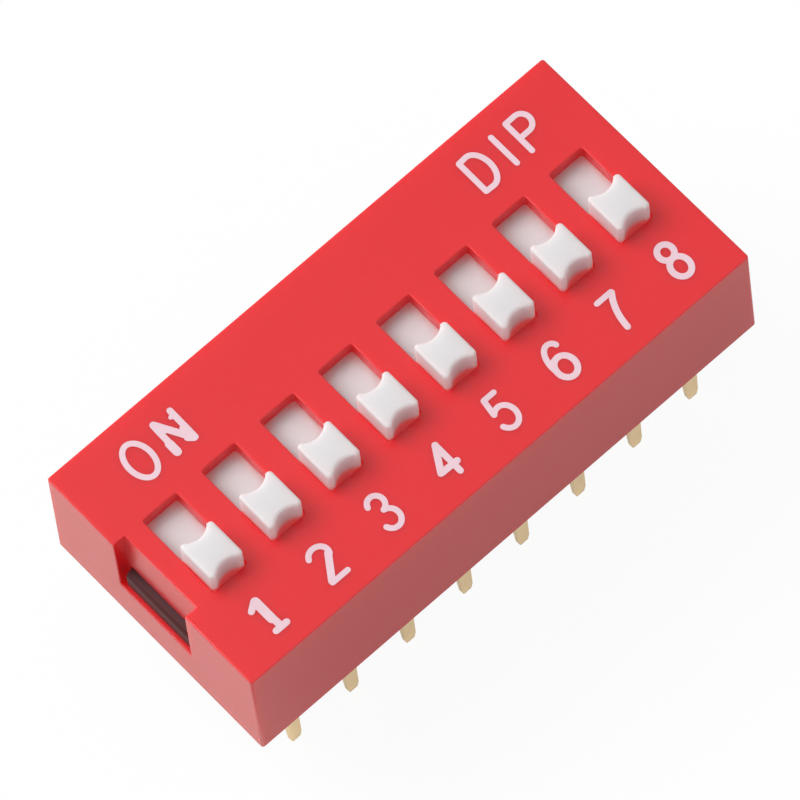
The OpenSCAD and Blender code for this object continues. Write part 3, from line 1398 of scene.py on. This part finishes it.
@dataclass
class Print:
    """Characters printed in a row on the cover as a thin raised film of ink."""

    name: str
    text: str
    columns: Sequence[float]
    row: float
    top: float
    width: float = 0.2
    end_share: float = 0.485
    rise: float = 0.012
    sunk: float = 0.01

    @property
    def height(self) -> float:
        """Returns the height of the film, with the part of it that is under the surface."""
        return self.rise + self.sunk

    def build(self) -> Workpiece:
        """Prints every character.

        Returns:
            All of them as one piece, in millimetres.
        """
        marks = [self._character(letter, column) for letter, column in zip(self.text, self.columns)]
        first = marks[0]
        first.gather(marks[1:])
        first.thing.name = self.name
        return first

    def _character(self, letter: str, column: float) -> Workpiece:
        """Prints one character.

        Args:
            letter: The character.
            column: Where its middle is along the row.

        Returns:
            The character as one closed film.
        """
        middle = Vector((column, self.row, self.top - self.sunk))
        parts = []
        for stroke in CHARACTERS[letter]:
            width = self.width * stroke.weight
            if isinstance(stroke, Arc):
                parts.append(self._ribbon(stroke, middle, width))
                ends = () if stroke.closed else (stroke.at(stroke.start), stroke.at(stroke.end))
            else:
                parts += self._bars(stroke, middle, width)
                ends = stroke.places
            parts += self._rounds(ends, middle, width)
        film = parts[0]
        if len(parts) > 1:
            film.gather(parts[1:])
            self._unite(film)
        return film

    def _ribbon(self, arc: Arc, middle: Vector, width: float) -> Workpiece:
        """Draws an arc with square ends.

        Args:
            arc: The arc.
            middle: Where the character's middle is.
            width: Width of the line.

        Returns:
            The line of ink.
        """
        clear_selection()
        centre = middle + Vector((*arc.centre, 0))
        bpy.ops.mesh.primitive_circle_add(vertices=ELLIPSE_SIDES, radius=1, location=centre)
        ribbon = Workpiece.fresh("ribbon")
        with ribbon.editing(Pick.POINTS):
            bpy.ops.mesh.select_all(action="SELECT")
            bpy.ops.transform.resize(value=(*arc.radii, 1), center_override=centre)
            mesh = bmesh.from_edit_mesh(ribbon.thing.data)
            for vert in mesh.verts:
                vert.select_set(not arc.holds(vert.co - centre))
            mesh.select_flush_mode()
            bmesh.update_edit_mesh(ribbon.thing.data)
            bpy.ops.mesh.delete(type="VERT")
            bpy.ops.mesh.select_all(action="SELECT")
            upwards = {"value": (0, 0, self.height)}
            bpy.ops.mesh.extrude_region_move(TRANSFORM_OT_translate=upwards)
        bpy.ops.object.modifier_add(type="SOLIDIFY")
        modifier = ribbon.thing.modifiers[-1]
        modifier.thickness = width
        modifier.offset = 0.0
        modifier.use_even_offset = True
        bpy.ops.object.modifier_apply(modifier=modifier.name)
        ribbon.face_outwards()
        return ribbon

    def _bars(self, bar: Bar, middle: Vector, width: float) -> list[Workpiece]:
        """Draws a straight stroke as a block from each place to the next.

        Args:
            bar: The stroke.
            middle: Where the character's middle is.
            width: Width of the line.

        Returns:
            The blocks.
        """
        blocks = []
        for start, end in zip(bar.places, bar.places[1:]):
            along = Vector(end) - Vector(start)
            centre = (Vector(start) + Vector(end)) / 2
            place = middle + Vector((centre.x, centre.y, self.height / 2))
            size = (along.length, width, self.height)
            turn = math.atan2(along.y, along.x)
            clear_selection()
            bpy.ops.mesh.primitive_cube_add(size=1, location=place, rotation=(0, 0, turn), scale=size)
            blocks.append(Workpiece.fresh("bar"))
        return blocks

    def _rounds(self, places: Sequence[Place], middle: Vector, width: float) -> list[Workpiece]:
        """Makes the round ends and corners of a stroke.

        Args:
            places: Where they are.
            middle: Where the character's middle is.
            width: Width of the line.

        Returns:
            A low rod for each.
        """
        radius = width * self.end_share
        feet = [middle + Vector((*place, 0)) for place in places]
        return [Workpiece.rod("dot", foot, radius, self.height, sides=25) for foot in feet]

    @staticmethod
    def _unite(film: Workpiece) -> None:
        """Makes overlapping lines and dots one closed film.

        Args:
            film: The gathered lines and dots.
        """
        with film.editing():
            bpy.ops.mesh.select_all(action="SELECT")
            bpy.ops.mesh.intersect_boolean(operation="UNION", use_self=True, solver="EXACT")
        film.merge()


# ---------------------------------------------------------------- studio


@dataclass(frozen=True)
class Lamp:
    """A square soft lamp that looks at the object's middle."""

    name: str
    place: tuple[float, float, float]
    size: float
    share: float

    def hang(self, target: Vector) -> None:
        """Hangs the lamp.

        Args:
            target: The point that it looks at, in metres.
        """
        place = Vector(self.place)
        away = place - target
        light = bpy.data.lights.new(self.name, "AREA")
        light.shape = "SQUARE"
        light.size = self.size
        light.energy = self.share * math.pi**2 * away.length_squared
        thing = bpy.data.objects.new(self.name, light)
        thing.location = place
        thing.rotation_mode = "QUATERNION"
        thing.rotation_quaternion = away.to_track_quat("Z", "Y")
        bpy.context.scene.collection.objects.link(thing)


@dataclass
class Studio:
    """A white floor, soft light and the camera."""

    floor_height: float
    floor_side: float = 3.0
    floor_colour: Colour = (0.49, 0.49, 0.49)
    floor_seen: Colour = (0.95, 0.95, 0.95)
    # The floor's colour to glossy rays: a painted warm tint in the object's reflections
    painted_reflection_tint: Colour = (0.95, 0.89, 0.80)
    shadow_seen: float = 0.06
    shadow_mirrored: float = 0.55
    ambient: float = 0.42
    lamps: Sequence[Lamp] = (
        Lamp("key", (-0.175, 0.27, 0.38), 0.38, 0.92),
        Lamp("fill", (0.05, -0.40, 0.30), 0.50, 0.08),
    )
    aim: tuple[float, float, float] = (-0.746, -0.881, 5.25)
    distance: float = 343.4
    heading: float = 34.63
    elevation: float = 65.68
    roll: float = -8.34
    lens: float = 478.2
    sensor: float = 36.0
    nearest: float = 0.01
    farthest: float = 10.0

    def build(self) -> None:
        """Sets up the whole studio."""
        scene = bpy.context.scene
        scene.view_settings.view_transform = "Standard"
        self._lay_floor()
        self._light_world()
        for lamp in self.lamps:
            lamp.hang(Vector((0, 0, 0)))
        self._place_camera()
        LOG.info("studio: %d lamps, camera %.0f mm away", len(self.lamps), self.distance)

    @staticmethod
    def _seen(graph: Graph) -> bpy.types.NodeSocket:
        """Picks out the rays that see the background itself, not its light.

        Args:
            graph: The tree that asks.

        Returns:
            A mask that is 1 for those rays.
        """
        path = graph.add("LightPath")
        mirrored = graph.maths("MAXIMUM", path.outputs["Is Glossy Ray"], path.outputs["Is Transmission Ray"])
        return graph.maths("MAXIMUM", path.outputs["Is Camera Ray"], mirrored)

    def _lay_floor(self) -> None:
        """Lays the floor, which shows white and keeps a faint shadow, and whose reflections carry a painted
        warm tint.
        """
        clear_selection()
        bpy.ops.mesh.primitive_plane_add(size=self.floor_side, location=(0, 0, self.floor_height * MM))
        floor = Workpiece.fresh("floor")
        material = bpy.data.materials.new("floor_white")
        material.use_nodes = True
        material.node_tree.nodes.clear()
        graph = Graph(material.node_tree)
        matt = graph.add("BsdfDiffuse", {"Color": opaque(self.floor_colour)})
        # Glossy rays see the warmer paper: a painted warm tint in reflections
        mirrored = graph.add("LightPath").outputs["Is Glossy Ray"]
        tone = graph.mix(mirrored, opaque(self.floor_seen), opaque(self.painted_reflection_tint))
        paper = graph.add("BsdfDiffuse", {"Color": tone})
        white = graph.add("Emission", {"Strength": 1.0})
        deeper = graph.maths("MULTIPLY", mirrored, self.shadow_mirrored - self.shadow_seen)
        shadowed = graph.add("MixShader", {"Fac": graph.maths("ADD", deeper, self.shadow_seen)})
        graph.tree.links.new(white.outputs[0], shadowed.inputs[1])
        graph.tree.links.new(paper.outputs[0], shadowed.inputs[2])
        chosen = graph.add("MixShader", {"Fac": self._seen(graph)})
        graph.tree.links.new(matt.outputs[0], chosen.inputs[1])
        graph.tree.links.new(shadowed.outputs[0], chosen.inputs[2])
        graph.add("OutputMaterial", {"Surface": chosen.outputs[0]})
        floor.dress(material)
        floor.thing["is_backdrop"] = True

    def _light_world(self) -> None:
        """Makes the world white to look at and dimmer as a light."""
        world = bpy.data.worlds.new("studio_world")
        world.use_nodes = True
        world.node_tree.nodes.clear()
        graph = Graph(world.node_tree)
        gain = graph.maths("MULTIPLY", self._seen(graph), 1.0 - self.ambient)
        strength = graph.maths("ADD", gain, self.ambient)
        sky = graph.add("Background", {"Color": opaque((1, 1, 1)), "Strength": strength})
        graph.add("OutputWorld", {"Surface": sky.outputs[0]})
        bpy.context.scene.world = world

    def _place_camera(self) -> None:
        """Places the camera and makes it the scene's."""
        heading = math.radians(self.heading)
        elevation = math.radians(self.elevation)
        roll = math.radians(self.roll)
        forward = Vector(
            (
                math.sin(heading) * math.cos(elevation),
                math.cos(heading) * math.cos(elevation),
                -math.sin(elevation),
            )
        )
        level = Vector((math.cos(heading), -math.sin(heading), 0))
        right = level * math.cos(roll) + level.cross(forward) * math.sin(roll)
        back = -forward
        above = back.cross(right)
        eye = (Vector(self.aim) + back * self.distance) * MM
        camera = bpy.data.cameras.new("camera")
        camera.lens = self.lens
        camera.sensor_width = self.sensor
        camera.clip_start = self.nearest
        camera.clip_end = self.farthest
        thing = bpy.data.objects.new("camera", camera)
        turn = Matrix((right, above, back)).transposed().to_4x4()
        thing.matrix_world = Matrix.Translation(eye) @ turn
        bpy.context.scene.collection.objects.link(thing)
        bpy.context.scene.camera = thing


# ---------------------------------------------------------------- the switch


@dataclass
class DipSwitch:
    """The whole switch: cover, base, sliders, terminals, wipers and print."""

    frame: Frame
    shelf: EffectShelf = field(default_factory=EffectShelf)
    # Red: edges lighter as wear and painted highlight; painted red glow and painted shade in gaps
    red: Plastic = Plastic(
        "red_plastic",
        (0.765, 0.019, 0.027),
        0.26,
        flow=0.02,
        clarity=0.43,
        glow=0.8,
        glow_tint=(1.0, 0.10, 0.08),
        glow_depth=0.0006,
        dust=0.02,
        painted_gap_glow=(0.12, 0.004, 0.004),
        gap_start=0.35,
    )
    # White: painted red glow and painted red-tinted shade in gaps
    white: Plastic = Plastic(
        "white_plastic",
        (0.715, 0.71, 0.72),
        0.50,
        flow=0.02,
        dust=0.03,
        edge_wear_and_highlight=0.0,
        glow=1.0,
        glow_tint=(0.9, 1.0, 1.0),
        glow_depth=0.001,
        painted_gap_glow=(0.20, 0.025, 0.024),
        gap_start=0.25,
    )
    # Black: edges made much lighter, a painted highlight; painted shade in gaps
    black: Plastic = Plastic(
        "black_plastic", (0.085, 0.021, 0.024), 0.50, flow=0.2, dust=0.05, clarity=0.13, edge_wear_and_highlight=0.6
    )
    terminal_gilt: Gilt = Gilt("terminal_gilt", (1.0, 0.80, 0.48), 0.33)
    wiper_gilt: Gilt = Gilt("wiper_gilt", (0.74, 0.55, 0.28), 0.24)
    ink: Ink = Ink("white_ink", (0.83, 0.61, 0.69), 0.50)
    base_inset: float = 0.93
    number_pitch: float = 2.565
    number_shift: float = 0.09
    number_row: float = -3.48
    word_row: float = 3.34
    on_columns: Sequence[float] = (-8.24, -6.78)
    dip_columns: Sequence[float] = (6.78, 7.72, 8.74)

    @property
    def positions(self) -> int:
        """Returns the number of switch positions."""
        return len(self.frame["joints"])

    @property
    def travel(self) -> float:
        """Returns how far a slider moves, in millimetres."""
        low, high = self.frame["joints"][0]["range_m"]
        return (high - low) / MM

    def build(self) -> None:
        """Builds every piece in order."""
        self._fit_cover()
        self._fit_base()
        self._fit_sliders()
        self._fit_terminals()
        self._fit_print()
        self._dress_wipers()

    def _centres(self) -> list[Vector]:
        """Finds the middle of each slot, half a travel along from its slider at rest.

        Returns:
            The middles, in order.
        """
        found = []
        for number in range(1, self.positions + 1):
            rest = Span.of_node(f"slider_{number}").centre
            found.append(Vector((rest.x, rest.y + self.travel / 2, 0)))
        return found

    def _fit_cover(self) -> None:
        """Builds and fits the cover."""
        cover = Cover(Span.of_node("housing"), self._centres()).build()
        cover.to_metres()
        cover.dress(self.red.material(self.shelf))
        cover.fit(BODY, "cover_red", "housing")

    def _fit_base(self) -> None:
        """Builds and fits the base."""
        whole = Span.of_node("base")
        end = Span.of_node("housing").high.x - self.base_inset
        floor = Span(Vector((-end, whole.low.y, 0)), Vector((end, whole.high.y, 0)))
        base = Base(self.frame["nodes"]["base"], floor).build()
        base.to_metres()
        base.dress(self.black.material(self.shelf))
        base.fit(BODY, "base_black", "base")

    def _fit_sliders(self) -> None:
        """Builds one slider and fits a copy at each position."""
        space = Span.of_node("slider_1")
        slider = Slider(space, space.high.z).build()
        slider.to_metres()
        slider.dress(self.white.material(self.shelf))
        start = space.centre.x
        for number in range(2, self.positions + 1):
            shift = Span.of_node(f"slider_{number}").centre.x - start
            copy = slider.copy(f"switch_slider_{number}", (shift * MM, 0, 0))
            copy.fit(f"slide_{number}", "slider_white", f"slider_{number}")
        slider.thing.name = "switch_slider_1"
        slider.fit("slide_1", "slider_white", "slider_1")

    def _fit_terminals(self) -> None:
        """Builds a terminal with a long pad and one with a short pad, and fits a copy of each."""
        material = self.terminal_gilt.material(self.shelf)
        last = 2 * self.positions
        for start, row in ((1, range(1, self.positions + 1)), (last, range(self.positions + 1, last + 1))):
            space = Span.of_node(f"terminal_{start}")
            turned = start == last
            turn = 180.0 if turned else 0.0
            if turned:
                space = Span(
                    Vector((-space.high.x, -space.high.y, space.low.z)),
                    Vector((-space.low.x, -space.low.y, space.high.z)),
                )
            terminal = Terminal(space, space.centre.x).build()
            terminal.to_metres()
            terminal.dress(material)
            for number in row:
                place = Span.of_node(f"terminal_{number}").centre.x
                shift = place + space.centre.x if turned else place - space.centre.x
                copy = terminal.copy(f"switch_terminal_{number}", (shift * MM, 0, 0), turn)
                copy.fit(BODY, "terminal_gold", f"terminal_{number}")
            terminal.discard()

    def _fit_print(self) -> None:
        """Prints the numbers below the slots and the words above them."""
        top = Span.of_node("housing").high.z
        material = self.ink.material(self.shelf)
        middle = (self.positions - 1) / 2
        numbers = "".join(str(number + 1) for number in range(self.positions))
        offsets = [index - middle for index in range(self.positions)]
        columns = [offset * self.number_pitch + self.number_shift for offset in offsets]
        prints = (
            Print("legend_numbers", numbers, columns, self.number_row, top),
            Print("legend_on", "ON", self.on_columns, self.word_row, top),
            Print("legend_dip", "DIP", self.dip_columns, self.word_row, top),
        )
        for words in prints:
            piece = words.build()
            piece.to_metres()
            piece.dress(material)
            piece.fit(BODY, "slider_white")

    def _dress_wipers(self) -> None:
        """Gives the CAD wipers their gilt finish."""
        material = self.wiper_gilt.material(self.shelf)
        for number in range(1, self.positions + 1):
            node = self.frame["nodes"][f"wiper_{number}"]
            node.material_slots[0].link = "OBJECT"
            node.material_slots[0].material = material
            LOG.info("%s: kept from the frame", node.name)


def main() -> None:
    """Builds the switch and its studio."""
    logging.basicConfig(level=logging.INFO, format="%(name)s: %(message)s", stream=sys.stdout)
    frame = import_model()
    cad_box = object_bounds()
    DipSwitch(frame).build()
    Studio(floor_height=cad_box[0].z / MM).build()


if __name__ == "__main__":
    main()
